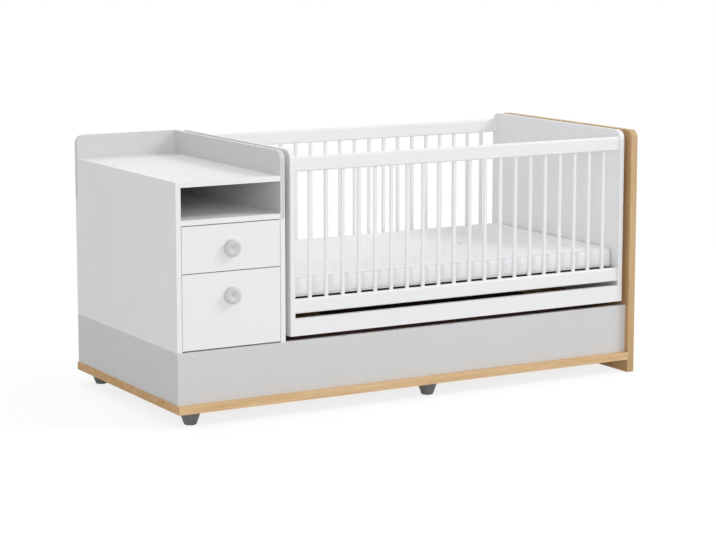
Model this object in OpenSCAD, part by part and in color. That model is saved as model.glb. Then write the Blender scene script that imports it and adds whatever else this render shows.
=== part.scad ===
// Crib with an attached changer, on one low plinth with a wooden base board and a wooden headboard.
// Units are millimetres. +X runs along the length towards the headboard, +Y runs away from the
// front, +Z is up. The origin is on the floor, below the middle of the footprint.

/* [Overall] */
// Length over the base board and the headboard
overall_w = 1880; // [1780:10:2100]
// Depth from the front edge to the back edge of the base board
overall_d = 870; // [820:10:1000]
// Height of the headboard, the crib ends and the upstands above the floor
overall_h = 910; // [890:5:1000]
// Thickness of every lacquered panel
panel_t = 18; // [16:1:20]
// Radius of the rounded corners of the headboard and the upstands
corner_r = 30; // [15:1:45]
// Clearance between a screw, stud or dowel and its hole, on the radius
hole_clearance = 0.2; // [0.1:0.05:0.4]

/* [Base] */
// Height of a foot, which lifts the base board off the floor
foot_h = 48; // [30:1:80]
// Diameter of a foot where it meets the base board
foot_top_d = 76; // [50:1:100]
// Diameter of a foot on the floor
foot_bottom_d = 42; // [24:1:48]
// Distance from the left end of the base board to the middle of the first foot
foot_inset_x = 68; // [55:1:120]
// Distance from the front or back edge of the base board to the middle of a foot
foot_inset_y = 60; // [55:1:150]
// Distance along the length between the first foot and the second
foot_pitch = 938; // [700:1:1200]
// Diameter of the stud that holds a foot
stud_d = 8; // [6:1:10]
// Thickness of the base board
board_t = 28; // [24:1:40]
// Thickness of the headboard
headboard_t = 28; // [22:1:40]
// Height of the plinth rails
plinth_h = 178; // [140:1:200]
// How far the plinth and the changer stand behind the front edge of the base board
front_set = 20; // [19.5:0.5:40]
// How far the plinth and the changer stand in from the left edge of the base board
left_set = 5; // [0:1:20]
// Diameter of the bolts through the headboard
headboard_bolt_d = 7; // [5:0.5:8]
// Length of the bolts through the headboard
headboard_bolt_l = 70; // [55:1:90]

/* [Changer] */
// Width of the changer
changer_w = 407; // [380:1:520]
// Height of the changing surface above the floor
worktop_h = 826; // [800:1:850]
// Radius of the rounded front corner of the changer's left side
side_corner_r = 6; // [2:1:12]
// Clear height of the open niche
niche_h = 110; // [80:1:140]
// Height of the upper drawer front
upper_front_h = 158; // [140:1:170]
// Gap round a drawer front
front_gap = 3; // [2:0.5:4]
// Gap between the lower drawer front and the top of the plinth
bottom_gap = 5; // [4:0.5:8]
// Thickness of the changer's back panel
back_t = 8; // [5:1:12]
// Diameter of the dowels that join the changer's boards
dowel_d = 8; // [6:1:10]
// Length of those dowels
dowel_l = 30; // [24:1:36]

/* [Drawers] */
// Length of a drawer box behind its front
drawer_len = 500; // [400:10:560]
// Thickness of the drawer sides and backs
drawer_side_t = 12; // [10:1:15]
// Thickness of a drawer bottom
drawer_bottom_t = 5; // [3:0.5:8]
// Height of the upper drawer's sides
upper_side_h = 105; // [80:1:115]
// Height of the lower drawer's sides
lower_side_h = 200; // [120:1:210]
// How far a drawer opens
drawer_travel = 370; // [250:10:380]
// Height of a drawer bottom above the lower edge of its sides
drawer_bottom_up = 8; // [4:1:15]
// Space for a runner between a drawer box and the carcass
runner_space = 13; // [12.5:0.5:16]
// Height of a runner
runner_h = 42; // [35:1:50]
// Wall of a runner's two steel members
runner_wall = 1.5; // [1:0.1:2]
// Running clearance between a runner's two members
runner_clearance = 0.3; // [0.2:0.1:1]
// Diameter of a knob
knob_d = 58; // [50:1:66]
// How far a knob stands out from its drawer front
knob_out = 19; // [14:0.5:19.5]
// Thickness of a knob in the hollow of its face
knob_middle_t = 8; // [7.5:0.5:13]
// Radius of a knob's rounded rim
knob_rim_r = 8.5; // [3:0.5:9]
// Distance from the top of a drawer front to the middle of its knob
knob_drop = 82; // [60:1:100]
// Diameter of a knob's screw
knob_screw_d = 4; // [3:0.5:5]

/* [Crib box] */
// Gap between the changer and the crib box, which leaves room for its glide
gap_left = 20; // [18:0.5:30]
// Gap between the crib box and the headboard
gap_right = 18; // [16.5:0.5:30]
// Gap between the top of the plinth and the crib box
gap_below = 16; // [14:0.5:26]
// How far the crib box glides to either side
glide_travel = 14; // [5:1:15]
// Radius of the rounded top corners of the crib ends
crib_corner_r = 35; // [20:1:45]
// Height of the apron boards
apron_h = 60; // [50:1:70]
// Height of the slot between an apron and the lower rail
slot_h = 16; // [10:1:25]
// Height of the lower rails
lower_rail_h = 50; // [40:1:60]
// Height of the top rails
top_rail_h = 51; // [40:1:60]
// Distance from the top of the crib ends down to the top rails
top_rail_drop = 24; // [10:1:40]
// Thickness of the rails
rail_t = 22; // [18:1:26]
// How far the front rails stand in from the front edges of the crib ends
rail_set = 5; // [0:0.5:8]
// How far the rear rails stand in from the rear edges of the crib ends
rear_rail_set = 1; // [0:0.5:8]
// Radius of the rounded long edges of the rails
rail_edge_r = 6; // [2:0.5:8]
// Number of slats on each side
slat_count = 20; // [16:1:22]
// Width of a slat
slat_w = 13; // [10:1:18]
// Depth of a slat
slat_d = 10; // [8:1:16]
// Radius of the rounded edges of a slat
slat_edge_r = 2.5; // [1:0.5:3.5]
// Diameter of the dowels that join the rails and aprons to the crib ends
crib_dowel_d = 8; // [6:0.5:8]
// Length of those dowels
crib_dowel_l = 40; // [30:1:60]

/* [Glide] */
// Distance from the front or back edge of the base board to a bearer board
bearer_inset = 200; // [150:5:260]
// Distance from a crib end to the cross rail beside it
cross_rail_inset = 190; // [140:5:300]
// Width of a glide track
track_w = 26; // [23:1:34]
// Height of a glide track
track_h = 12; // [8:1:12.5]
// Wall of a glide track
track_wall = 2; // [1.5:0.5:3]
// Length of a glide shoe
shoe_len = 60; // [40:5:90]
// Clearance between a glide shoe and its track
shoe_clearance = 0.3; // [0.2:0.1:0.6]

/* [Mattress] */
// Thickness of the mattress at its sides
mattress_t = 66; // [60:1:110]
// Gap between the mattress and the side rails
mattress_gap_y = 10; // [6:1:20]
// Gap between the mattress and the crib ends
mattress_gap_x = 3; // [2:1:15]
// How far the crown of the mattress rises above its edge
mattress_crown = 3; // [0:0.5:8]
// Depth of the dimple round a sewn tuft
tuft_depth = 2; // [0:0.5:6]
// Number of tufts, in one row along the middle of the mattress
tuft_count = 2; // [1:1:3]
// Distance between two tufts
tuft_pitch = 516; // [300:2:560]
// How far the bottom of the mattress lies above the lower rails
mattress_up = 4.5; // [0:0.5:10]
// How far the bed slats end short of the mattress's long sides
bed_inset = 70; // [5:1:100]
// Thickness of the bed slats under the mattress
bed_slat_t = 10; // [8:1:14]
// Width of a bed slat
bed_slat_w = 60; // [45:5:75]
// Number of bed slats
bed_slat_count = 12; // [8:1:14]
// Height of the long rails under the bed slats
bed_rail_h = 30; // [25:1:36]
// Section of the cleats that carry the long rails
cleat_s = 18; // [16:1:22]

/* [Hidden] */
$fn = 48;

// Colours
white = [0.91, 0.91, 0.92];
light_grey = [0.79, 0.79, 0.80];
oak = [0.82, 0.68, 0.50];
pine = [0.80, 0.68, 0.50];
brown_board = [0.36, 0.27, 0.22];
foot_grey = [0.36, 0.37, 0.37];
knob_grey = [0.76, 0.76, 0.77];
steel = [0.70, 0.71, 0.72];
nylon = [0.90, 0.90, 0.88];
fabric = [0.94, 0.94, 0.95];

// Overall faces
left_x = -overall_w / 2;
right_x = overall_w / 2;
front_y = -overall_d / 2;
back_y = overall_d / 2;

// Base
board_top = foot_h + board_t;
plinth_top = board_top + plinth_h;
head_x = right_x - headboard_t;
plinth_x = left_x + left_set;
plinth_y = front_y + front_set;
well_y0 = plinth_y + panel_t;
well_y1 = back_y - panel_t;
foot_round = 3;
stud_in_board = board_t - 6;
stud_in_foot = foot_h / 2;
headboard_bolt_z = [board_top + plinth_h * 0.28, board_top + plinth_h * 0.72];
bolt_head_ratio = 2;
bolt_head_t = 4;

// Changer
changer_x1 = plinth_x + changer_w;
cavity_x0 = plinth_x + panel_t;
cavity_x1 = changer_x1 - panel_t;
shelf_top = worktop_h - panel_t - niche_h;
shelf_z = shelf_top - panel_t;
dowel_in_side = panel_t - 6;
dowel_inset = 60;
dowel_levels = [worktop_h - panel_t / 2, shelf_z + panel_t / 2, plinth_top + panel_t / 2];

// Drawers
upper_front_z = shelf_z - front_gap - upper_front_h;
lower_front_z = plinth_top + bottom_gap;
lower_front_h = upper_front_z - front_gap - lower_front_z;
front_x0 = cavity_x0 + front_gap * 2 / 3;
front_x1 = cavity_x1 - front_gap * 2 / 3;
front_mid_x = (front_x0 + front_x1) / 2;
box_y0 = plinth_y + panel_t;
box_x0 = cavity_x0 + runner_space;
box_x1 = cavity_x1 - runner_space;
side_up = 24;
upper_box_z = upper_front_z + side_up;
lower_box_z = lower_front_z + side_up;
knob_foot_edge = 0.8;
knob_hole_depth = knob_middle_t - 3;
screw_head_t = 2.5;

// Crib box
crib_x0 = changer_x1 + gap_left;
crib_x1 = head_x - gap_right;
crib_z = plinth_top + gap_below;
crib_in_x0 = crib_x0 + panel_t;
crib_in_x1 = crib_x1 - panel_t;
crib_in_w = crib_in_x1 - crib_in_x0;
lower_rail_z = crib_z + apron_h + slot_h;
lower_rail_top = lower_rail_z + lower_rail_h;
top_rail_z = overall_h - top_rail_drop - top_rail_h;
front_rail_y = plinth_y + rail_set;
rear_rail_y = back_y - rear_rail_set - rail_t;
slat_pitch = crib_in_w / (slat_count + 1);
crib_dowel_in_end = panel_t - 6;
rail_dowel_y = [front_rail_y + rail_t / 2, rear_rail_y + rail_t / 2];
rail_dowel_z = [
    top_rail_z + top_rail_h / 4, top_rail_z + top_rail_h * 3 / 4,
    lower_rail_z + lower_rail_h / 4, lower_rail_z + lower_rail_h * 3 / 4
];
apron_dowel_y = [plinth_y + panel_t / 2, back_y - panel_t / 2];
apron_dowel_z = [crib_z + apron_h / 4, crib_z + apron_h * 3 / 4];

// Glide
bearer_y = [front_y + bearer_inset, back_y - bearer_inset];
bearer_top = crib_z - track_h - 8;
cross_rail_x = [crib_in_x0 + cross_rail_inset, crib_in_x1 - cross_rail_inset];
shoe_w = track_w - 2 * track_wall - 2 * shoe_clearance;
track_len = shoe_len + 2 * glide_travel + 2 * track_wall + 4;

// Mattress and its base
mattress_z = lower_rail_top + mattress_up;
bed_slat_z = mattress_z - bed_slat_t;
bed_rail_z = bed_slat_z - bed_rail_h;
bed_y0 = front_rail_y + rail_t + mattress_gap_y + bed_inset;
bed_y1 = rear_rail_y - mattress_gap_y - bed_inset;
bed_end_gap = 2;
mattress_l = crib_in_w - 2 * mattress_gap_x;
mattress_w = rear_rail_y - front_rail_y - rail_t - 2 * mattress_gap_y;
mattress_mid = [(crib_in_x0 + crib_in_x1) / 2, (front_rail_y + rail_t + rear_rail_y) / 2];
grid_x = 36;
grid_y = 20;
mattress_corner_in = 5;
mattress_side_in = 2;
mattress_edge_r = 6;

// A block from its low corner and its size
module block(x, y, z, w, d, h) {
    translate([x, y, z]) cube([w, d, h]);
}

// A flat rectangle with four rounded corners, its low corner at the origin
module round_rect(w, h, r) {
    translate([r, 0]) square([w - 2 * r, h]);
    translate([0, r]) square([w, h - 2 * r]);
    for (x = [r, w - r])
        for (y = [r, h - r])
            translate([x, y]) circle(r);
}

// A flat rectangle whose top corners are rounded: r0 at its low end, r1 at its high end
module round_top(w, h, r0, r1) {
    square([w, h - max(r0, r1)]);
    translate([r0, 0]) square([w - r0 - r1, h]);
    if (r0 > 0) translate([r0, h - r0]) circle(r0);
    else square([w / 2, h]);
    if (r1 > 0) translate([w - r1, h - r1]) circle(r1);
    else translate([w / 2, 0]) square([w / 2, h]);
    if (r0 > 0 && r1 > 0) square([w, h - max(r0, r1)]);
}

// Turns a flat shape so that its first axis runs along Y and its second along Z, then gives it
// a thickness along X
module along_x(x, y, z, t) {
    translate([x, y, z]) rotate([90, 0, 90]) linear_extrude(t) children();
}

// Turns a flat shape so that its first axis runs along X and its second along Z, then gives it
// a thickness along Y
module along_y(x, y, z, t) {
    translate([x, y + t, z]) rotate([90, 0, 0]) linear_extrude(t) children();
}

module rod_x(x, y, z, r, l) {
    translate([x, y, z]) rotate([0, 90, 0]) cylinder(r = r, h = l);
}

module rod_y(x, y, z, r, l) {
    translate([x, y, z]) rotate([-90, 0, 0]) cylinder(r = r, h = l);
}

module rod_z(x, y, z, r, l) {
    translate([x, y, z]) cylinder(r = r, h = l);
}

// ---- Base ----

// The places of the four feet, in the order front left, front middle, rear left, rear middle
function foot_x(i) = left_x + foot_inset_x + (i % 2) * foot_pitch;
function foot_y(i) = i < 2 ? front_y + foot_inset_y : back_y - foot_inset_y;

// The studs of the four feet, or with a clearance the holes for them
module studs(clearance) {
    for (i = [0:3])
        rod_z(foot_x(i), foot_y(i), foot_h - stud_in_foot, stud_d / 2 + clearance,
              stud_in_foot + stud_in_board);
}

// The bolts that hold the headboard, or with a clearance the holes for them
module head_bolts(clearance) {
    for (y = [plinth_y + panel_t / 2, back_y - panel_t / 2])
        for (z = headboard_bolt_z) {
            rod_x(right_x - headboard_bolt_l, y, z, headboard_bolt_d / 2 + clearance,
                  headboard_bolt_l);
            rod_x(right_x - bolt_head_t - clearance, y, z,
                  headboard_bolt_d * bolt_head_ratio / 2 + clearance, bolt_head_t + clearance);
        }
}

module base_board() {
    color(oak)
        difference() {
            block(left_x, front_y, foot_h, head_x - left_x, overall_d, board_t);
            studs(hole_clearance);
        }
}

module headboard() {
    color(oak)
        difference() {
            along_x(head_x, front_y, 0, headboard_t)
                round_top(overall_d, overall_h, corner_r, corner_r);
            head_bolts(hole_clearance);
        }
}

module plinth_front_rail() {
    color(light_grey)
        difference() {
            block(plinth_x, plinth_y, board_top, head_x - plinth_x, panel_t, plinth_h);
            head_bolts(hole_clearance);
        }
}

module plinth_rear_rail() {
    color(light_grey)
        difference() {
            block(plinth_x, well_y1, board_top, head_x - plinth_x, panel_t, plinth_h);
            head_bolts(hole_clearance);
        }
}

module plinth_left_rail() {
    color(light_grey)
        block(plinth_x, well_y0, board_top, panel_t, well_y1 - well_y0, plinth_h);
}

module plinth_divider() {
    color(light_grey)
        block(cavity_x1, well_y0, board_top, panel_t, well_y1 - well_y0, plinth_h);
}

// A long board on edge in the plinth, which carries the glide tracks of the crib box
module bearer(i) {
    color(brown_board)
        block(changer_x1, bearer_y[i] - panel_t / 2, board_top, head_x - changer_x1, panel_t,
              bearer_top - board_top);
}

module front_bearer() { bearer(0); }

module rear_bearer() { bearer(1); }

// A tapered round foot with a softened lower edge
module foot(i) {
    taper = (foot_top_d - foot_bottom_d) / 2 / foot_h;
    low_r = foot_bottom_d / 2;
    color(foot_grey)
        difference() {
            translate([foot_x(i), foot_y(i), 0])
                rotate_extrude()
                    polygon([[0, 0], [low_r - foot_round / 2, 0],
                             [low_r + taper * foot_round, foot_round],
                             [foot_top_d / 2, foot_h], [0, foot_h]]);
            studs(hole_clearance);
        }
}

module foot_front_left() { foot(0); }

module foot_front_middle() { foot(1); }

module foot_rear_left() { foot(2); }

module foot_rear_middle() { foot(3); }

module foot_studs() {
    color(steel) studs(0);
}

// Each bolt head has a six-sided socket
module headboard_bolts() {
    socket_r = headboard_bolt_d * 0.4;
    socket_depth = bolt_head_t * 0.6;
    color(steel)
        difference() {
            head_bolts(0);
            for (y = [plinth_y + panel_t / 2, back_y - panel_t / 2])
                for (z = headboard_bolt_z)
                    translate([right_x - socket_depth, y, z])
                        rotate([0, 90, 0])
                            cylinder(r = socket_r, h = socket_depth + 1, $fn = 6);
        }
}

// A short steel channel on a bearer, open at the top, with closed ends
module glide_tracks() {
    color(steel)
        for (x = cross_rail_x)
            for (y = bearer_y)
                difference() {
                    block(x - track_len / 2, y - track_w / 2, bearer_top, track_len, track_w,
                          track_h);
                    block(x - track_len / 2 + track_wall, y - track_w / 2 + track_wall,
                          bearer_top + track_wall, track_len - 2 * track_wall,
                          track_w - 2 * track_wall, track_h);
                }
}

// ---- Changer ----

// The dowels between the changer's boards and its two sides, or the holes for them
module dowels(clearance) {
    for (z = dowel_levels)
        for (y = [plinth_y + panel_t + dowel_inset, well_y1 - dowel_inset]) {
            rod_x(cavity_x0 - dowel_in_side - clearance, y, z, dowel_d / 2 + clearance,
                  dowel_l + 2 * clearance);
            rod_x(cavity_x1 + dowel_in_side - dowel_l - clearance, y, z,
                  dowel_d / 2 + clearance, dowel_l + 2 * clearance);
        }
}

module changer_left_side() {
    color(white)
        difference() {
            union() {
                block(plinth_x, plinth_y, plinth_top, panel_t, back_y - plinth_y,
                      shelf_z - plinth_top);
                along_x(plinth_x, plinth_y, plinth_top, panel_t)
                    round_top(well_y1 - plinth_y, worktop_h - plinth_top, side_corner_r, 0);
            }
            dowels(hole_clearance);
        }
}

module changer_right_side() {
    color(white)
        difference() {
            block(cavity_x1, plinth_y, plinth_top, panel_t, back_y - plinth_y,
                  shelf_z - plinth_top);
            dowels(hole_clearance);
        }
}

module changer_worktop() {
    color(white)
        difference() {
            block(cavity_x0, plinth_y, worktop_h - panel_t, cavity_x1 - cavity_x0,
                  well_y1 - plinth_y, panel_t);
            dowels(hole_clearance);
        }
}

module changer_shelf() {
    color(white)
        difference() {
            block(cavity_x0, plinth_y, shelf_z, cavity_x1 - cavity_x0, well_y1 - plinth_y,
                  panel_t);
            dowels(hole_clearance);
        }
}

module changer_bottom() {
    color(white)
        difference() {
            block(cavity_x0, box_y0 + front_gap, plinth_top, cavity_x1 - cavity_x0,
                  back_y - back_t - box_y0 - front_gap, panel_t);
            dowels(hole_clearance);
        }
}

module changer_back() {
    color(white)
        block(cavity_x0, back_y - back_t, plinth_top, cavity_x1 - cavity_x0, back_t,
              shelf_z - plinth_top);
}

module rear_upstand() {
    color(light_grey)
        along_y(plinth_x, well_y1, shelf_z, panel_t)
            round_top(changer_w, overall_h - shelf_z, corner_r, 0);
}

module right_upstand() {
    color(light_grey)
        difference() {
            along_x(cavity_x1, plinth_y, shelf_z, panel_t)
                round_top(well_y1 - plinth_y, overall_h - shelf_z, corner_r, 0);
            dowels(hole_clearance);
        }
}

module changer_dowels() {
    color(pine) dowels(0);
}

// ---- Runners ----

// Section of a channel, open towards +X: w deep, h high, with walls of t
module channel(w, h, t) {
    difference() {
        square([w, h]);
        translate([t, t]) square([w, h - 2 * t]);
    }
}

// One steel channel along Y, on the left, with its back at x and its middle at height z
module runner_channel(x, z, w, h, towards_left) {
    translate([x, box_y0 + drawer_len, z - h / 2])
        rotate([90, 0, 0])
            linear_extrude(drawer_len)
                mirror([towards_left ? 1 : 0, 0]) channel(w, h, runner_wall);
}

runner_outer_w = runner_space - runner_wall - runner_clearance;
runner_inner_w = runner_space - runner_wall - runner_clearance;
runner_inner_h = runner_h - 2 * runner_wall - 2 * runner_clearance;

module cabinet_runners(z) {
    color(steel) {
        runner_channel(cavity_x0, z, runner_outer_w, runner_h, false);
        runner_channel(cavity_x1, z, runner_outer_w, runner_h, true);
    }
}

module drawer_runners(z) {
    color(steel) {
        runner_channel(box_x0, z, runner_inner_w, runner_inner_h, true);
        runner_channel(box_x1, z, runner_inner_w, runner_inner_h, false);
    }
}

module upper_cabinet_runners() { cabinet_runners(upper_box_z + upper_side_h / 2); }

module lower_cabinet_runners() { cabinet_runners(lower_box_z + lower_side_h / 2); }

// ---- Drawers ----

module drawer_front(z, h) {
    color(white)
        difference() {
            block(front_x0, plinth_y, z, front_x1 - front_x0, panel_t, h);
            rod_y(front_mid_x, plinth_y, z + h - knob_drop, knob_screw_d / 2 + hole_clearance,
                  panel_t);
        }
}

module drawer_side(x, z, h) {
    color(white) block(x, box_y0, z, drawer_side_t, drawer_len, h);
}

module drawer_back(z, h) {
    color(white)
        block(box_x0 + drawer_side_t, box_y0 + drawer_len - drawer_side_t, z,
              box_x1 - box_x0 - 2 * drawer_side_t, drawer_side_t, h);
}

module drawer_bottom(z) {
    color(white)
        block(box_x0 + drawer_side_t, box_y0, z + drawer_bottom_up,
              box_x1 - box_x0 - 2 * drawer_side_t, drawer_len - drawer_side_t, drawer_bottom_t);
}

// A round knob with a rounded rim, its back on the front of a drawer. Inside the rim its face
// curves down into a cone, which ends in the hollow in the middle.
module knob(z) {
    side_r = knob_d / 2;
    crest_r = side_r - knob_rim_r;
    rim_up = knob_out - knob_rim_r;
    face_r = 0.9 * crest_r;
    curve_up = knob_out - face_r;
    away = norm([crest_r, curve_up - knob_middle_t]);
    slope = atan2(curve_up - knob_middle_t, crest_r) + asin(face_r / away);
    cone_run = sqrt(away * away - face_r * face_r);
    cone_r = cone_run * cos(slope);
    color(knob_grey)
        difference() {
            translate([front_mid_x, plinth_y, z]) rotate([90, 0, 0])
                rotate_extrude() {
                    polygon([[0, 0], [cone_r, 0],
                             [cone_r, knob_middle_t + cone_run * sin(slope)],
                             [0, knob_middle_t]]);
                    intersection() {
                        translate([crest_r, curve_up]) circle(face_r);
                        translate([cone_r, 0]) square([crest_r - cone_r, knob_out]);
                    }
                    intersection() {
                        translate([crest_r, rim_up]) circle(knob_rim_r);
                        translate([crest_r, rim_up]) square(knob_rim_r);
                    }
                    polygon([[crest_r, 0], [side_r - knob_foot_edge, 0], [side_r, knob_foot_edge],
                             [side_r, rim_up], [crest_r, rim_up]]);
                }
            rod_y(front_mid_x, plinth_y - knob_hole_depth, z, knob_screw_d / 2 + hole_clearance,
                  knob_hole_depth);
        }
}

// A screw through a drawer front into its knob, with a cross recess in its head
module knob_screw(z) {
    arm = knob_screw_d * 1.1;
    slit = knob_screw_d * 0.25;
    recess_y = plinth_y + panel_t + screw_head_t - 1;
    color(steel)
        difference() {
            union() {
                rod_y(front_mid_x, plinth_y - knob_hole_depth + 1, z, knob_screw_d / 2,
                      knob_hole_depth - 1 + panel_t);
                rod_y(front_mid_x, plinth_y + panel_t, z, knob_screw_d, screw_head_t);
            }
            block(front_mid_x - arm / 2, recess_y, z - slit / 2, arm, 2, slit);
            block(front_mid_x - slit / 2, recess_y, z - arm / 2, slit, 2, arm);
        }
}

upper_knob_z = upper_front_z + upper_front_h - knob_drop;
lower_knob_z = lower_front_z + lower_front_h - knob_drop;

module upper_drawer_front() { drawer_front(upper_front_z, upper_front_h); }

module upper_drawer_left_side() { drawer_side(box_x0, upper_box_z, upper_side_h); }

module upper_drawer_right_side() {
    drawer_side(box_x1 - drawer_side_t, upper_box_z, upper_side_h);
}

module upper_drawer_back() { drawer_back(upper_box_z, upper_side_h); }

module upper_drawer_bottom() { drawer_bottom(upper_box_z); }

module upper_drawer_runners() { drawer_runners(upper_box_z + upper_side_h / 2); }

module upper_knob() { knob(upper_knob_z); }

module upper_knob_screw() { knob_screw(upper_knob_z); }

module lower_drawer_front() { drawer_front(lower_front_z, lower_front_h); }

module lower_drawer_left_side() { drawer_side(box_x0, lower_box_z, lower_side_h); }

module lower_drawer_right_side() {
    drawer_side(box_x1 - drawer_side_t, lower_box_z, lower_side_h);
}

module lower_drawer_back() { drawer_back(lower_box_z, lower_side_h); }

module lower_drawer_bottom() { drawer_bottom(lower_box_z); }

module lower_drawer_runners() { drawer_runners(lower_box_z + lower_side_h / 2); }

module lower_knob() { knob(lower_knob_z); }

module lower_knob_screw() { knob_screw(lower_knob_z); }

// ---- Crib box ----

// The two blind dowels at one height, one in each crib end, or with a clearance their holes
module dowel_pair(y, z, clearance) {
    rod_x(crib_in_x0 - crib_dowel_in_end - clearance, y, z, crib_dowel_d / 2 + clearance,
          crib_dowel_l + 2 * clearance);
    rod_x(crib_in_x1 + crib_dowel_in_end - crib_dowel_l - clearance, y, z,
          crib_dowel_d / 2 + clearance, crib_dowel_l + 2 * clearance);
}

module rail_dowels(clearance) {
    for (y = rail_dowel_y)
        for (z = rail_dowel_z)
            dowel_pair(y, z, clearance);
    for (y = apron_dowel_y)
        for (z = apron_dowel_z)
            dowel_pair(y, z, clearance);
}

module crib_end(x) {
    color(white)
        difference() {
            along_x(x, plinth_y, crib_z, panel_t)
                round_top(back_y - plinth_y, overall_h - crib_z, crib_corner_r, crib_corner_r);
            rail_dowels(hole_clearance);
        }
}

module crib_left_end() { crib_end(crib_x0); }

module crib_right_end() { crib_end(crib_x1 - panel_t); }

// A rail with rounded long edges between the crib ends
module rail(y, z, h) {
    color(white)
        difference() {
            along_x(crib_in_x0, y, z, crib_in_w) round_rect(rail_t, h, rail_edge_r);
            rail_dowels(hole_clearance);
        }
}

// A row of slats between the lower rail and the top rail
module slats(y) {
    color(white)
        for (i = [1:slat_count])
            translate([crib_in_x0 + i * slat_pitch - slat_w / 2, y + (rail_t - slat_d) / 2,
                       lower_rail_top])
                linear_extrude(top_rail_z - lower_rail_top)
                    round_rect(slat_w, slat_d, slat_edge_r);
}

module apron(y) {
    color(white)
        difference() {
            block(crib_in_x0, y, crib_z, crib_in_w, panel_t, apron_h);
            rail_dowels(hole_clearance);
        }
}

module front_top_rail() { rail(front_rail_y, top_rail_z, top_rail_h); }

module front_lower_rail() { rail(front_rail_y, lower_rail_z, lower_rail_h); }

module front_slats() { slats(front_rail_y); }

module front_apron() { apron(plinth_y); }

module rear_top_rail() { rail(rear_rail_y, top_rail_z, top_rail_h); }

module rear_lower_rail() { rail(rear_rail_y, lower_rail_z, lower_rail_h); }

module rear_slats() { slats(rear_rail_y); }

module rear_apron() { apron(well_y1); }

// Two rails across the bottom of the crib box, which stand on the glide shoes
module crib_cross_rails() {
    color(pine)
        for (x = cross_rail_x)
            block(x - shoe_len / 4, well_y0, crib_z, shoe_len / 2, well_y1 - well_y0,
                  apron_h / 2);
}

module crib_dowels() {
    color(pine) rail_dowels(0);
}

// Blocks that glide in the tracks, fixed below the cross rails
module glide_shoes() {
    floor_z = bearer_top + track_wall + shoe_clearance;
    color(nylon)
        for (x = cross_rail_x)
            for (y = bearer_y)
                block(x - shoe_len / 2, y - shoe_w / 2, floor_z, shoe_len, shoe_w,
                      crib_z - floor_z);
}

// ---- Mattress base and mattress ----

module bed_side_rails() {
    color(brown_board)
        for (y = [bed_y0, bed_y1 - panel_t])
            block(crib_in_x0 + bed_end_gap, y, bed_rail_z, crib_in_w - 2 * bed_end_gap,
                  panel_t, bed_rail_h);
}

module bed_slats() {
    run = crib_in_w - 2 * bed_end_gap - bed_slat_w;
    color(brown_board)
        for (i = [0:bed_slat_count - 1])
            block(crib_in_x0 + bed_end_gap + i * run / (bed_slat_count - 1), bed_y0, bed_slat_z,
                  bed_slat_w, bed_y1 - bed_y0, bed_slat_t);
}

module bed_cleats() {
    color(brown_board)
        for (x = [crib_in_x0, crib_in_x1 - cleat_s])
            block(x, bed_y0, bed_rail_z - cleat_s, cleat_s, bed_y1 - bed_y0, cleat_s);
}

// The mattress is a grid over a rectangle, u and v running from -1 to 1. Its top is crowned and
// has a dimple at each tuft, and its sides are drawn in a little between the corners.
function grid_u(i) = 2 * i / grid_x - 1;
function grid_v(j) = 2 * j / grid_y - 1;
function tuft_x(i) = (i - (tuft_count - 1) / 2) * tuft_pitch;
function tuft_at(u, v) =
    max([for (i = [0:tuft_count - 1])
        exp(-pow(norm([u * mattress_l / 2 - tuft_x(i), v * mattress_w / 2]) / 45, 2))]);
function top_z(u, v) =
    mattress_t + mattress_crown * (1 - pow(u, 4)) * (1 - pow(v, 4)) - tuft_depth * tuft_at(u, v);
function corner(u, v) = abs(u) == 1 && abs(v) == 1 ? mattress_corner_in : 0;
function plan(u, v, inset) =
    [u * (mattress_l / 2 - inset - mattress_side_in * (1 - v * v)) - sign(u) * corner(u, v),
     v * (mattress_w / 2 - inset - mattress_side_in * (1 - u * u)) - sign(v) * corner(u, v)];
function at(u, v, inset, z) = concat(plan(u, v, inset), z);
// The places round the edge of the grid, anticlockwise seen from above
edge_uv = concat(
    [for (i = [0:grid_x - 1]) [grid_u(i), -1]],
    [for (j = [0:grid_y - 1]) [1, grid_v(j)]],
    [for (i = [0:grid_x - 1]) [grid_u(grid_x - i), 1]],
    [for (j = [0:grid_y - 1]) [-1, grid_v(grid_y - j)]]);
edge_n = len(edge_uv);
// Rings from the bottom up: inset and height
rings = [[mattress_edge_r, 0], [0, mattress_edge_r], [0, mattress_t - mattress_edge_r]];
ring_points = [for (r = rings) for (p = edge_uv) at(p[0], p[1], r[0], r[1])];
top_points = [for (j = [0:grid_y]) for (i = [0:grid_x])
    let (u = grid_u(i), v = grid_v(j)) at(u, v, mattress_edge_r, top_z(u, v))];
top_first = len(ring_points);
bottom_middle = top_first + len(top_points);
function top_index(i, j) = top_first + j * (grid_x + 1) + i;
// The index in the top grid of each place round the edge
edge_top = concat(
    [for (i = [0:grid_x - 1]) top_index(i, 0)],
    [for (j = [0:grid_y - 1]) top_index(grid_x, j)],
    [for (i = [0:grid_x - 1]) top_index(grid_x - i, grid_y)],
    [for (j = [0:grid_y - 1]) top_index(0, grid_y - j)]);
// Two triangles for a four-sided patch, its corners clockwise seen from outside
function patch(a, b, c, d) = [[a, b, c], [a, c, d]];
mattress_faces = concat(
    [for (k = [0:edge_n - 1]) [bottom_middle, k, (k + 1) % edge_n]],
    [for (r = [0:1]) for (k = [0:edge_n - 1])
        each patch(r * edge_n + k, (r + 1) * edge_n + k, (r + 1) * edge_n + (k + 1) % edge_n,
                   r * edge_n + (k + 1) % edge_n)],
    [for (k = [0:edge_n - 1])
        each patch(2 * edge_n + k, edge_top[k], edge_top[(k + 1) % edge_n],
                   2 * edge_n + (k + 1) % edge_n)],
    [for (j = [0:grid_y - 1]) for (i = [0:grid_x - 1])
        each patch(top_index(i, j), top_index(i, j + 1), top_index(i + 1, j + 1),
                   top_index(i + 1, j))]);

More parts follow.
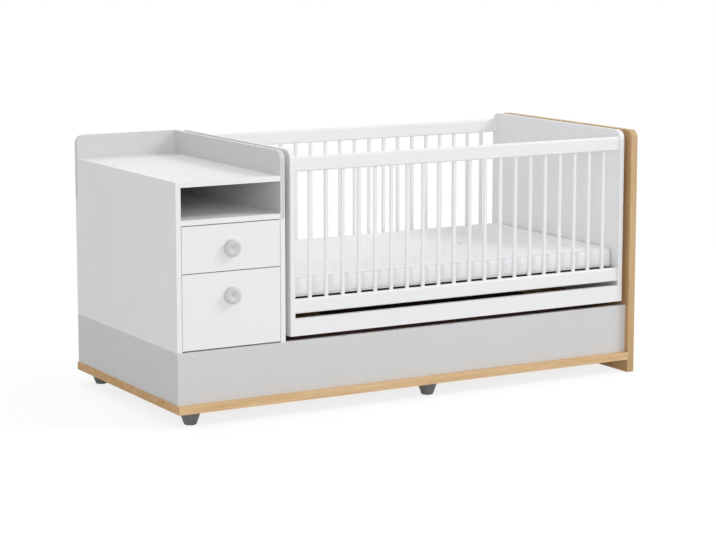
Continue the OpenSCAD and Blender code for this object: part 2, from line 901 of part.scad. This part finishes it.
module mattress() {
    color(fabric)
        translate([mattress_mid[0], mattress_mid[1], mattress_z])
            polyhedron(points = concat(ring_points, top_points, [[0, 0, 0]]),
                       faces = mattress_faces);
}

base_board();
headboard();
plinth_front_rail();
plinth_rear_rail();
plinth_left_rail();
plinth_divider();
front_bearer();
rear_bearer();
foot_front_left();
foot_front_middle();
foot_rear_left();
foot_rear_middle();
foot_studs();
headboard_bolts();
glide_tracks();
changer_left_side();
changer_right_side();
changer_worktop();
changer_shelf();
changer_bottom();
changer_back();
rear_upstand();
right_upstand();
changer_dowels();
upper_cabinet_runners();
lower_cabinet_runners();
upper_drawer_front();
upper_drawer_left_side();
upper_drawer_right_side();
upper_drawer_back();
upper_drawer_bottom();
upper_drawer_runners();
upper_knob();
upper_knob_screw();
lower_drawer_front();
lower_drawer_left_side();
lower_drawer_right_side();
lower_drawer_back();
lower_drawer_bottom();
lower_drawer_runners();
lower_knob();
lower_knob_screw();
crib_left_end();
crib_right_end();
front_top_rail();
front_lower_rail();
front_slats();
front_apron();
rear_top_rail();
rear_lower_rail();
rear_slats();
rear_apron();
crib_cross_rails();
crib_dowels();
glide_shoes();
bed_side_rails();
bed_slats();
bed_cleats();
mattress();
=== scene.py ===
import math

import bmesh
import bpy
from mathutils import Matrix, Vector


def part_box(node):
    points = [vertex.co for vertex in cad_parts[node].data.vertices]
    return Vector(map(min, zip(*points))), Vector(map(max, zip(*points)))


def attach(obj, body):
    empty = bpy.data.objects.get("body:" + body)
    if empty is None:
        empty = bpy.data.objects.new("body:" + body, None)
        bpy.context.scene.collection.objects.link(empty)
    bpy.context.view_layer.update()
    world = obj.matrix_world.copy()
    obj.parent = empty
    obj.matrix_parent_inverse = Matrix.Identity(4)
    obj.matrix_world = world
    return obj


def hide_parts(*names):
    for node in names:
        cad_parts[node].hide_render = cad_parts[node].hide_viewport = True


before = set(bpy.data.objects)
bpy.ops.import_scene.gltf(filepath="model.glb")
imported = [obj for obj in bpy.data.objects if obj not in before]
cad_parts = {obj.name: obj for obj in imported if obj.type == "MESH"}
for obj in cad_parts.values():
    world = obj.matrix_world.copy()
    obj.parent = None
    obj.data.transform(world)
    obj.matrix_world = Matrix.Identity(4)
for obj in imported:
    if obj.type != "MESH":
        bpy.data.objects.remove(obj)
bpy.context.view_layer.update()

# Lengths are in metres, angles in degrees, lamp powers in watts. Colours are linear unless they
# come from srgb(), which takes levels of 0 to 255.

# ---------------------------------------------------------------------------
# Camera, at the viewing angle of the photograph
# ---------------------------------------------------------------------------
# Solved from the straight edges in the photograph, which was taken level with a large shift. Here
# the shift stays small and the camera looks down instead.
PICTURE_WIDTH_PX = 716.0
FOCAL_LENGTH_PX = 2159.0
SENSOR_MM = 36.0
CAMERA_PLACE = (-3.932, -6.807, 1.687)
CAMERA_TURN = 29.99
CAMERA_DIP = 8.34
CAMERA_SHIFT_Y = -0.05
CLIP_NEAR = 0.05
CLIP_FAR = 200.0


def place(name, data):
    """A new object in the scene for its data."""
    obj = bpy.data.objects.new(name, data)
    bpy.context.scene.collection.objects.link(obj)
    return obj


def make_camera():
    data = bpy.data.cameras.new("camera")
    data.sensor_width = SENSOR_MM
    data.lens = FOCAL_LENGTH_PX / PICTURE_WIDTH_PX * SENSOR_MM
    data.shift_y = CAMERA_SHIFT_Y
    data.clip_start = CLIP_NEAR
    data.clip_end = CLIP_FAR
    camera = place("camera", data)
    camera.location = CAMERA_PLACE
    camera.rotation_euler = (math.pi / 2 - math.radians(CAMERA_DIP), 0.0, -math.radians(CAMERA_TURN))
    bpy.context.scene.camera = camera


make_camera()


# ---------------------------------------------------------------------------
# Helpers for node materials
# ---------------------------------------------------------------------------
class Graph:
    """A material and short calls to build its nodes."""

    def __init__(self, name):
        self.material = bpy.data.materials.new(name)
        self.material.use_nodes = True
        self.tree = self.material.node_tree
        self.shader = self.tree.nodes["Principled BSDF"]
        coordinates = self.tree.nodes.new("ShaderNodeTexCoord")
        self.position = coordinates.outputs["Object"]
        self.facing = coordinates.outputs["Normal"]

    def node(self, kind, **values):
        made = self.tree.nodes.new(kind)
        for key, value in values.items():
            setattr(made, key, value)
        return made

    def link(self, output, socket):
        self.tree.links.new(output, socket)

    def feed(self, socket, value):
        """Put a number, a colour or another node's output on a socket."""
        if isinstance(value, (int, float)):
            socket.default_value = value
        elif isinstance(value, tuple):
            socket.default_value = (*value, 1.0)
        else:
            self.link(value, socket)

    def set(self, name, value):
        """Set an input of the surface shader."""
        self.feed(self.shader.inputs[name], value)

    def scaled(self, scale, move=(0, 0, 0)):
        """The object's coordinates, scaled apart on each axis and moved."""
        made = self.node("ShaderNodeMapping")
        made.inputs["Scale"].default_value = scale
        made.inputs["Location"].default_value = move
        self.link(self.position, made.inputs["Vector"])
        return made.outputs["Vector"]

    def noise(self, scale, detail=2.0, roughness=0.5, vector=None, distortion=0.0):
        made = self.node("ShaderNodeTexNoise")
        made.inputs["Scale"].default_value = scale
        made.inputs["Detail"].default_value = detail
        made.inputs["Roughness"].default_value = roughness
        made.inputs["Distortion"].default_value = distortion
        self.link(vector or self.position, made.inputs["Vector"])
        return made.outputs["Fac"]

    def wave(self, scale, direction, distortion, detail, vector=None):
        made = self.node("ShaderNodeTexWave", bands_direction=direction)
        made.inputs["Scale"].default_value = scale
        made.inputs["Distortion"].default_value = distortion
        made.inputs["Detail"].default_value = detail
        self.link(vector or self.position, made.inputs["Vector"])
        return made.outputs["Fac"]

    def ramp(self, source, stops, smooth=False):
        """Colours over a source: stops are pairs of a place and a colour."""
        made = self.node("ShaderNodeValToRGB")
        if smooth:
            made.color_ramp.interpolation = "EASE"
        points = made.color_ramp.elements
        while len(points) < len(stops):
            points.new(0.5)
        for point, (position, colour) in zip(points, stops):
            point.position = position
            point.color = (*colour, 1.0)
        self.link(source, made.inputs["Fac"])
        return made.outputs["Color"]

    def span(self, source, low, high, from_low=0.0, from_high=1.0):
        """A source's range from_low to from_high, mapped to low to high."""
        made = self.node("ShaderNodeMapRange")
        made.inputs["From Min"].default_value = from_low
        made.inputs["From Max"].default_value = from_high
        made.inputs["To Min"].default_value = low
        made.inputs["To Max"].default_value = high
        self.link(source, made.inputs["Value"])
        return made.outputs["Result"]

    def math(self, operation, *values):
        made = self.node("ShaderNodeMath", operation=operation)
        for socket, value in zip(made.inputs, values):
            self.feed(socket, value)
        return made.outputs[0]

    def mix(self, factor, first, second, blend="MIX"):
        made = self.node("ShaderNodeMix", data_type="RGBA", blend_type=blend)
        sockets = (made.inputs["Factor"], made.inputs[6], made.inputs[7])
        for socket, value in zip(sockets, (factor, first, second)):
            self.feed(socket, value)
        return made.outputs[2]

    def bump(self, height, distance, strength):
        made = self.node("ShaderNodeBump")
        made.inputs["Strength"].default_value = strength
        made.inputs["Distance"].default_value = distance
        self.link(height, made.inputs["Height"])
        return made.outputs["Normal"]


def srgb(*levels):
    """Linear colour for 8-bit sRGB levels."""
    shares = [level / 255.0 for level in levels]
    return tuple(c / 12.92 if c <= 0.04045 else ((c + 0.055) / 1.055) ** 2.4 for c in shares)


def shade(colour, factor):
    return tuple(min(1.0, c * factor) for c in colour)


def cloudy(graph, source, colour, darkest, lightest):
    """A colour that drifts between two shades of itself with a noise."""
    return graph.ramp(source, [(0.3, shade(colour, darkest)), (0.7, shade(colour, lightest))])


# ---------------------------------------------------------------------------
# Materials
# ---------------------------------------------------------------------------
def lacquer(name, colour, rough=0.38):
    """Satin lacquer on a board: a very fine orange peel and barely uneven gloss."""
    g = Graph(name)
    g.set("Base Color", cloudy(g, g.noise(3.1, 3.0), colour, 0.985, 1.01))
    g.set("Roughness", g.span(g.noise(17.0, 4.0), rough - 0.05, rough + 0.06, 0.3, 0.7))
    peel = g.noise(520.0)
    g.set("Normal", g.bump(peel, 0.0002, 0.12))
    g.set("Specular IOR Level", 0.42)
    return g.material


def wood(name, grain_axis, light, dark, seed=0.0, x_grain_and_shade_tint=(1.0, 1.0, 1.0)):
    """Light wood with its grain along one axis: growth bands, fine streaks and dark pores.

    The last argument tints the faces that look along X deeper in colour: partly the wood's own
    deeper grain there, partly painted shade for a side that gets less light.
    """
    g = Graph(name)

    def along(stretch, across):
        return tuple(stretch if axis == grain_axis else across for axis in "XYZ")

    move = (seed, seed * 1.7, seed * 0.6)
    growth = along(0.55, 9.0)
    bands = g.noise(2.4, 3.0, 0.45, g.scaled(growth, move), 0.9)
    ring_scale = tuple(s * 0.85 for s in growth)
    rings = g.wave(1.0, "DIAGONAL", 5.0, 2.0, g.scaled(ring_scale, move))
    streaks = g.noise(1.0, 3.0, 0.6, g.scaled(along(2.6, 170.0), move))
    pores = g.noise(1.0, 1.0, 0.5, g.scaled(along(16.0, 620.0), move))
    pits = g.span(pores, 0.0, 1.0, 0.60, 0.72)
    middle = tuple((a + b) / 2 for a, b in zip(light, dark))
    colour = g.ramp(bands, [(0.32, dark), (0.5, middle), (0.68, light)], True)
    colour = g.mix(g.span(rings, 0.0, 0.30), colour, dark)
    colour = g.mix(g.span(streaks, 0.0, 0.42, 0.42, 0.68), colour, shade(dark, 0.80))
    colour = g.mix(g.math("MULTIPLY", pits, 0.40), colour, shade(dark, 0.52))
    # Painted shade, in part: faces looking along X are tinted deeper, partly for their grain, partly
    # for the shade that side gets.
    axes = g.node("ShaderNodeSeparateXYZ")
    g.link(g.facing, axes.inputs[0])
    x_faces_tinted_for_shade = g.span(g.math("ABSOLUTE", axes.outputs["X"]), 0.0, 1.0, 0.6, 0.9)
    g.set("Base Color", g.mix(x_faces_tinted_for_shade, colour, x_grain_and_shade_tint, "MULTIPLY"))
    g.set("Roughness", g.span(streaks, 0.42, 0.56, 0.35, 0.65))
    height = g.math("SUBTRACT", g.math("MULTIPLY", streaks, 0.5), pits)
    g.set("Normal", g.bump(height, 0.00012, 0.5))
    g.set("Specular IOR Level", 0.35)
    return g.material


def hard_board(name, colour):
    """Hard board: matted fibres and a faint cloudiness."""
    g = Graph(name)
    fibres = g.noise(1.0, 3.0, 0.6, g.scaled((260.0, 900.0, 900.0)))
    clouds = cloudy(g, g.noise(14.0, 3.0), colour, 0.90, 1.06)
    g.set("Base Color", g.mix(g.span(fibres, 0.0, 0.5, 0.45, 0.70), clouds, shade(colour, 0.62)))
    g.set("Roughness", g.span(fibres, 0.62, 0.78, 0.3, 0.7))
    g.set("Normal", g.bump(fibres, 0.0001, 0.4))
    return g.material


def moulded(name, colour, rough, grain=900.0, depth=0.00012):
    """Moulded plastic with a fine spark-eroded grain."""
    g = Graph(name)
    g.set("Base Color", cloudy(g, g.noise(40.0), colour, 0.96, 1.04))
    g.set("Roughness", g.span(g.noise(220.0, 3.0), rough - 0.05, rough + 0.07, 0.3, 0.7))
    g.set("Normal", g.bump(g.noise(grain, 3.0), depth, 0.25))
    return g.material


def zinc(name):
    """Zinc-plated steel: drawn streaks along the depth and a faint mottle."""
    g = Graph(name)
    streak = g.noise(1.0, 3.0, 0.6, g.scaled((900.0, 9.0, 900.0)))
    mottle = g.noise(120.0, 3.0)
    g.set("Base Color", g.ramp(mottle, [(0.3, (0.52, 0.53, 0.55)), (0.7, (0.63, 0.64, 0.65))]))
    g.set("Metallic", 1.0)
    g.set("Roughness", g.span(streak, 0.28, 0.46, 0.3, 0.7))
    g.set("Normal", g.bump(streak, 0.00006, 0.3))
    return g.material


def cover_fabric(name, colour):
    """Woven mattress cover: crossed yarns, a soft sheen and slightly uneven whiteness."""
    g = Graph(name)
    warp, weft, rise = (g.wave(260.0, axis, 0.4, 1.0) for axis in "XYZ")
    yarn = g.math("MULTIPLY", g.math("ADD", g.math("ADD", warp, weft), rise), 0.333)
    clouds = cloudy(g, g.noise(7.0, 4.0, 0.55), colour, 0.975, 1.01)
    g.set("Base Color", g.mix(g.span(yarn, 0.0, 0.10, 0.2, 0.8), clouds, shade(colour, 0.86)))
    g.set("Roughness", 0.86)
    g.set("Specular IOR Level", 0.2)
    g.set("Sheen Weight", 0.15)
    g.set("Sheen Roughness", 0.5)
    slub = g.noise(900.0)
    height = g.math("ADD", yarn, g.math("MULTIPLY", slub, 0.5))
    g.set("Normal", g.bump(height, 0.0003, 0.35))
    return g.material


WHITE = (0.86, 0.862, 0.868)
GREY = (0.650, 0.650, 0.655)
FOOT_GREY = (0.140, 0.142, 0.143)

white = lacquer("white_lacquer", WHITE)
white_inside = lacquer("white_inside", shade(WHITE, 0.97), 0.48)
grey = lacquer("grey_lacquer", GREY)
# The last tints deepen faces looking along X: partly end grain and veneer, partly painted shade.
oak_long = wood("oak_along_x", "X", srgb(235, 203, 161), srgb(211, 172, 122), 0.0,
                (0.853, 0.76, 0.56))
oak_tall = wood("oak_along_z", "Z", srgb(216, 187, 146), srgb(193, 159, 112), 3.3,
                (1.0, 0.90, 0.83))
pine = wood("bare_pine", "X", srgb(226, 200, 158), srgb(205, 172, 124), 7.1)
# Painted shade, in part: the bearers' brown hardboard is kept dark so the gap under the crib reads
# as shade; the board's own brown is a guess.
brown_board = hard_board("brown_board", srgb(112, 84, 68))
# Painted shade: the bed base's board is made dark so the narrow gap under the mattress reads as
# shade.
dark_board_for_shade = hard_board("dark_board_for_shade", srgb(92, 78, 71))
foot_plastic = moulded("foot_plastic", FOOT_GREY, 0.5)
knob_plastic = moulded("knob_plastic", srgb(206, 206, 207), 0.42, 1400.0, 0.00006)
nylon = moulded("nylon", srgb(228, 226, 220), 0.36)
steel = zinc("zinc_steel")
cover = cover_fabric("mattress_cover", srgb(238, 239, 241))
thread = cover_fabric("sewing_thread", srgb(214, 215, 218))

DRAWER_BOARDS = [
    f"{which}_drawer_{part}"
    for which in ("upper", "lower")
    for part in ("left_side", "right_side", "back", "bottom")
]

# Each material, the radius of its softened edges (0 leaves them sharp) and the nodes that have it
FINISHES = (
    (oak_long, 0.0012, ["base_board"]),
    (oak_tall, 0.0012, ["headboard"]),
    (grey, 0.0, [
        "plinth_front_rail", "plinth_rear_rail", "plinth_left_rail", "plinth_divider",
        "rear_upstand", "right_upstand",
    ]),
    (foot_plastic, 0.0, [
        "foot_front_left", "foot_front_middle", "foot_rear_left", "foot_rear_middle",
    ]),
    (steel, 0.0, [
        "foot_studs", "headboard_bolts", "glide_tracks", "upper_cabinet_runners",
        "lower_cabinet_runners", "upper_drawer_runners", "lower_drawer_runners",
        "upper_knob_screw", "lower_knob_screw",
    ]),
    (pine, 0.0015, ["changer_dowels", "crib_dowels", "crib_cross_rails"]),
    # Dark boards here stand in as painted shade for the gaps under the crib and the mattress
    (brown_board, 0.0, ["front_bearer", "rear_bearer"]),
    (dark_board_for_shade, 0.0005, ["bed_side_rails", "bed_slats", "bed_cleats"]),
    (nylon, 0.0, ["glide_shoes"]),
    (knob_plastic, 0.0, ["upper_knob", "lower_knob"]),
    (white_inside, 0.0006, DRAWER_BOARDS),
)
FINISH_OF = {node: (material, edge) for material, edge, nodes in FINISHES for node in nodes}
# The finish of every other node
PLAIN_FINISH = (white, 0.0)

WELD_REACH = 0.00001
# Only edges that turn by more than this are softened
SHARP_EDGE = 40.0


def dress(obj, material, edge):
    """Give a node its material and, where edge is over 0, softened edges."""
    if not obj.material_slots:
        obj.data.materials.append(material)
    for slot in obj.material_slots:
        slot.material = material
    if edge > 0:
        weld = obj.modifiers.new("weld", "WELD")
        weld.merge_threshold = WELD_REACH
        bevel = obj.modifiers.new("soft_edges", "BEVEL")
        bevel.width = edge
        bevel.segments = 2
        bevel.limit_method = "ANGLE"
        bevel.angle_limit = math.radians(SHARP_EDGE)
        bevel.harden_normals = True


for name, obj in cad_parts.items():
    if name != "mattress":
        dress(obj, *FINISH_OF.get(name, PLAIN_FINISH))


# ---------------------------------------------------------------------------
# Mattress: a padded cover over foam, swollen by a short cloth simulation
# ---------------------------------------------------------------------------
# The cover before it swells: its height, how far it stays inside the solid and its corner radius
PAD_HEIGHT = 0.0655
PAD_INSET = 0.001
PAD_CORNER = 0.010
# How far the middle of each side is drawn in
DRAWN_IN = 0.0016
# The grid's spacing over the top and its layers up the sides
PAD_STEP = 0.0125
PAD_LAYERS = 5
# The two buttons: their spacing along the length, and how deep they pull the cover
TUFT_PITCH = 0.516
TUFT_DIP = 0.002
SWELL_FRAMES = 16
SWELL_LIMIT = 0.004

pad_low, pad_high = (Vector(corner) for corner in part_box("mattress"))
mid = (pad_low + pad_high) / 2
half_x = (pad_high.x - pad_low.x) / 2 - PAD_INSET
half_y = (pad_high.y - pad_low.y) / 2 - PAD_INSET
pad_bottom = pad_low.z
pad_top = pad_bottom + PAD_HEIGHT
tufts = [(mid.x + side * TUFT_PITCH / 2, mid.y) for side in (-1, 1)]


def pad_plan(u, v):
    """A point of the outline's square, with rounded corners and slightly drawn-in sides."""
    x, y = u * half_x, v * half_y
    past_x = abs(x) - (half_x - PAD_CORNER)
    past_y = abs(y) - (half_y - PAD_CORNER)
    if past_x > 0 and past_y > 0:
        keep = max(past_x, past_y) / math.hypot(past_x, past_y)
        x = math.copysign(half_x - PAD_CORNER + past_x * keep, x)
        y = math.copysign(half_y - PAD_CORNER + past_y * keep, y)
    x -= u * DRAWN_IN * (1 - v * v)
    y -= v * DRAWN_IN * (1 - u * u)
    return mid.x + x, mid.y + y


def pad_mesh():
    """The cover before it swells, as a grid of squares, and the points that stay where they are."""
    nx = round(2 * half_x / PAD_STEP)
    ny = round(2 * half_y / PAD_STEP)
    nz = PAD_LAYERS
    mesh = bmesh.new()
    grid = {}

    def point(i, j, k):
        if (i, j, k) not in grid:
            x, y = pad_plan(2 * i / nx - 1, 2 * j / ny - 1)
            z = pad_bottom + k / nz * (pad_top - pad_bottom)
            grid[i, j, k] = mesh.verts.new((x, y, z))
        return grid[i, j, k]

    def face(*corners):
        mesh.faces.new([point(*corner) for corner in corners])

    for i in range(nx):
        for j in range(ny):
            face((i, j, nz), (i + 1, j, nz), (i + 1, j + 1, nz), (i, j + 1, nz))
            face((i, j, 0), (i, j + 1, 0), (i + 1, j + 1, 0), (i + 1, j, 0))
    for k in range(nz):
        for i in range(nx):
            face((i, 0, k), (i + 1, 0, k), (i + 1, 0, k + 1), (i, 0, k + 1))
            face((i + 1, ny, k), (i, ny, k), (i, ny, k + 1), (i + 1, ny, k + 1))
        for j in range(ny):
            face((0, j + 1, k), (0, j, k), (0, j, k + 1), (0, j + 1, k + 1))
            face((nx, j, k), (nx, j + 1, k), (nx, j + 1, k + 1), (nx, j, k + 1))
    mesh.verts.index_update()
    pinned = []
    for (i, j, k), vertex in grid.items():
        rim = i in (0, nx) or j in (0, ny)
        if k == 0 or (k == nz and rim):
            pinned.append(vertex.index)
    top = [vertex for (i, j, k), vertex in grid.items() if k == nz]
    for x, y in tufts:
        nearest = min(top, key=lambda v: (v.co.x - x) ** 2 + (v.co.y - y) ** 2)
        nearest.co.z -= TUFT_DIP
        pinned.append(nearest.index)
    data = bpy.data.meshes.new("mattress_pad")
    mesh.to_mesh(data)
    mesh.free()
    return data, pinned


def swell(pad, pinned):
    """Blow the cover up with cloth, and keep what it moved, within a limit."""
    start = [v.co.copy() for v in pad.data.vertices]
    group = pad.vertex_groups.new(name="pinned")
    group.add(pinned, 1.0, "REPLACE")
    cloth = pad.modifiers.new("cloth", "CLOTH")
    settings = cloth.settings
    settings.quality = 6
    settings.mass = 0.25
    settings.tension_stiffness = 12
    settings.compression_stiffness = 12
    settings.shear_stiffness = 6
    settings.bending_stiffness = 1.2
    settings.vertex_group_mass = "pinned"
    settings.use_pressure = True
    settings.uniform_pressure_force = 2.2
    settings.effector_weights.gravity = 0.0
    cloth.collision_settings.use_self_collision = False
    scene = bpy.context.scene
    scene.frame_start, scene.frame_end = 1, SWELL_FRAMES
    cloth.point_cache.frame_start, cloth.point_cache.frame_end = 1, SWELL_FRAMES
    for number in range(1, SWELL_FRAMES + 1):
        scene.frame_set(number)
    shaped = pad.evaluated_get(bpy.context.evaluated_depsgraph_get())
    moved = [v.co.copy() for v in shaped.to_mesh().vertices]
    shaped.to_mesh_clear()
    pad.modifiers.clear()
    scene.frame_set(1)
    for vertex, before, after in zip(pad.data.vertices, start, moved):
        way = after - before
        if way.length > SWELL_LIMIT:
            way = way.normalized() * SWELL_LIMIT
        vertex.co = before + way


def make_pad():
    data, pinned = pad_mesh()
    pad = place("mattress_pad", data)
    swell(pad, pinned)
    for vertex in data.vertices:
        vertex.co.z = max(vertex.co.z, pad_bottom)
    for polygon in data.polygons:
        polygon.use_smooth = True
    smooth = pad.modifiers.new("smooth", "SUBSURF")
    smooth.levels = smooth.render_levels = 1
    data.materials.append(cover)
    return pad


pad = make_pad()
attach(pad, "crib_box")
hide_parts("mattress")

# The piping's route: its corner radius, the points round a corner and the step along the sides
PIPING_CORNER = 0.012
CORNER_POINTS = 7
PIPING_STEP = 0.05
# The cord of the top edge: its radius, how far below the cover's top it lies and how far in
TOP_PIPING_RADIUS = 0.0010
TOP_PIPING_DROP = 0.0008
TOP_PIPING_INSET = 0.0008
# The thicker cord of the bottom edge
BOTTOM_PIPING_RADIUS = 0.0016
BOTTOM_PIPING_RISE = 0.0004
BOTTOM_PIPING_INSET = 0.0010


def piping_route(height, inset):
    """Points round the mattress at one height, drawn in along the sides as the cover is."""
    radius = PIPING_CORNER - inset
    ring = []
    for side_x, side_y, start in ((1, 1, 0), (-1, 1, 90), (-1, -1, 180), (1, -1, 270)):
        for k in range(CORNER_POINTS):
            a = math.radians(start + 90 / (CORNER_POINTS - 1) * k)
            ring.append(Vector((mid.x + side_x * (half_x - PIPING_CORNER) + radius * math.cos(a),
                                mid.y + side_y * (half_y - PIPING_CORNER) + radius * math.sin(a),
                                height)))
    route = []
    for here, following in zip(ring, ring[1:] + ring[:1]):
        parts = max(1, round((following - here).length / PIPING_STEP))
        for k in range(parts):
            spot = here.lerp(following, k / parts)
            u, v = (spot.x - mid.x) / half_x, (spot.y - mid.y) / half_y
            spot.x -= u * DRAWN_IN * (1 - min(1, v * v))
            spot.y -= v * DRAWN_IN * (1 - min(1, u * u))
            route.append(spot)
    return route


def piping(name, height, inset, radius):
    """A sewn cord round the mattress, at one height."""
    curve = bpy.data.curves.new(name, "CURVE")
    curve.dimensions = "3D"
    curve.bevel_depth = radius
    curve.bevel_resolution = 3
    route = piping_route(height, inset)
    spline = curve.splines.new("POLY")
    spline.points.add(len(route) - 1)
    for point, spot in zip(spline.points, route):
        point.co = (*spot, 1.0)
    spline.use_cyclic_u = True
    curve.materials.append(cover)
    cord = place(name, curve)
    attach(cord, "crib_box")


piping("mattress_top_piping", pad_top - TOP_PIPING_DROP, TOP_PIPING_INSET, TOP_PIPING_RADIUS)
piping("mattress_bottom_piping", pad_bottom + BOTTOM_PIPING_RISE, BOTTOM_PIPING_INSET,
       BOTTOM_PIPING_RADIUS)

# Half sizes of a button and a stitch, how far they stand over the cover's edge, and how far the
# stitches lie to either side
BUTTON_HALF = (0.011, 0.011, 0.0026)
BUTTON_RISE = 0.0006
STITCH_HALF = (0.0035, 0.0006, 0.0005)
STITCH_RISE = 0.0031
STITCH_OFF = 0.0022


def make_tufts():
    """A flat covered button in each dimple, held by two short stitches."""
    mesh = bmesh.new()

    def blob(spot, half, around, rings):
        made = bmesh.ops.create_uvsphere(mesh, u_segments=around, v_segments=rings, radius=1.0)
        shape = Matrix.Translation(spot) @ Matrix.Diagonal((*half, 1.0))
        bmesh.ops.transform(mesh, matrix=shape, verts=made["verts"])

    for x, y in tufts:
        blob((x, y, pad_top + BUTTON_RISE), BUTTON_HALF, 24, 10)
        for side in (-1, 1):
            blob((x, y + side * STITCH_OFF, pad_top + STITCH_RISE), STITCH_HALF, 10, 6)
    data = bpy.data.meshes.new("mattress_stitches")
    mesh.to_mesh(data)
    mesh.free()
    for polygon in data.polygons:
        polygon.use_smooth = True
    data.materials.append(thread)
    stitches = place("mattress_stitches", data)
    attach(stitches, "crib_box")


make_tufts()


# ---------------------------------------------------------------------------
# Floor, light and background
# ---------------------------------------------------------------------------
FLOOR_RADIUS = 40.0
FLOOR_SIDES = 96
# What the floor sends back to the object, and what the camera sees of it near the object
FLOOR_GREY = (0.65, 0.65, 0.65)
FLOOR_SEEN_GREY = (0.22, 0.22, 0.22)
FLOOR_SEEN_LIFT = 0.81
# Distance from the middle where the floor starts to fade, and where it is white
FADE_START = 2.6
FADE_END = 4.5
AMBIENT_STRENGTH = 0.57
BACKGROUND_STRENGTH = 1.0
LAMP_DISTANCE = 12.0
LAMP_AIM = Vector((0.0, 0.0, 0.45))


def seen_directly(tree):
    """1 for rays from the camera and mirrored or see-through ones, 0 for those that light things."""
    path = tree.nodes.new("ShaderNodeLightPath")
    seen = path.outputs["Is Camera Ray"]
    for kind in ("Is Glossy Ray", "Is Transmission Ray"):
        larger = tree.nodes.new("ShaderNodeMath")
        larger.operation = "MAXIMUM"
        tree.links.new(seen, larger.inputs[0])
        tree.links.new(path.outputs[kind], larger.inputs[1])
        seen = larger.outputs[0]
    return seen


def pale_floor():
    """Plain grey for the object's light; to the camera white, with the object's shadow on it."""
    g = Graph("pale_floor")

    def shader(kind, name, value):
        made = g.node(kind)
        g.feed(made.inputs[name], value)
        return made.outputs[0]

    def joined(kind, *sources):
        made = g.node(kind)
        for socket, source in zip(made.inputs, sources):
            g.link(source, socket)
        return made.outputs[0]

    plain = shader("ShaderNodeBsdfDiffuse", "Color", FLOOR_GREY)
    shadowed = shader("ShaderNodeBsdfDiffuse", "Color", FLOOR_SEEN_GREY)
    lift = shader("ShaderNodeEmission", "Strength", FLOOR_SEEN_LIFT)
    open_white = shader("ShaderNodeEmission", "Strength", BACKGROUND_STRENGTH)
    near = joined("ShaderNodeAddShader", shadowed, lift)
    distance = g.node("ShaderNodeVectorMath", operation="LENGTH")
    g.link(g.position, distance.inputs[0])
    fade = g.span(distance.outputs["Value"], 0.0, 1.0, FADE_START, FADE_END)
    seen = joined("ShaderNodeMixShader", fade, near, open_white)
    final = joined("ShaderNodeMixShader", seen_directly(g.tree), plain, seen)
    g.link(final, g.tree.nodes["Material Output"].inputs["Surface"])
    g.tree.nodes.remove(g.shader)
    return g.material


def make_floor():
    mesh = bmesh.new()
    bmesh.ops.create_circle(mesh, cap_ends=True, segments=FLOOR_SIDES, radius=FLOOR_RADIUS)
    data = bpy.data.meshes.new("floor")
    mesh.to_mesh(data)
    mesh.free()
    data.materials.append(pale_floor())
    place("floor", data)


def make_world():
    """A weak even light on the object, and white behind it."""
    world = bpy.data.worlds.new("world")
    bpy.context.scene.world = world
    world.use_nodes = True
    tree = world.node_tree
    tree.nodes.clear()
    mix = tree.nodes.new("ShaderNodeMixShader")
    tree.links.new(seen_directly(tree), mix.inputs[0])
    for socket, strength in zip(mix.inputs[1:], (AMBIENT_STRENGTH, BACKGROUND_STRENGTH)):
        background = tree.nodes.new("ShaderNodeBackground")
        background.inputs["Color"].default_value = (1.0, 1.0, 1.0, 1.0)
        background.inputs["Strength"].default_value = strength
        tree.links.new(background.outputs[0], socket)
    out = tree.nodes.new("ShaderNodeOutputWorld")
    tree.links.new(mix.outputs[0], out.inputs["Surface"])


def area_lamp(name, turn, height, size, power):
    """A square lamp, turned from the front towards the right and raised, in degrees."""
    data = bpy.data.lights.new(name, "AREA")
    data.shape = "SQUARE"
    data.size = size
    data.energy = power
    a, e = math.radians(turn), math.radians(height)
    way = Vector((math.sin(a) * math.cos(e), -math.cos(a) * math.cos(e), math.sin(e)))
    lamp = place(name, data)
    lamp.location = LAMP_AIM + LAMP_DISTANCE * way
    lamp.rotation_euler = (-way).to_track_quat("-Z", "Y").to_euler()


make_floor()
make_world()
area_lamp("key", turn=58, height=38, size=3.6, power=545.0)
area_lamp("front_fill", turn=-28, height=10, size=5.0, power=345.0)
area_lamp("rear_fill", turn=180, height=50, size=5.0, power=300.0)

bpy.context.scene.view_settings.view_transform = "Standard"
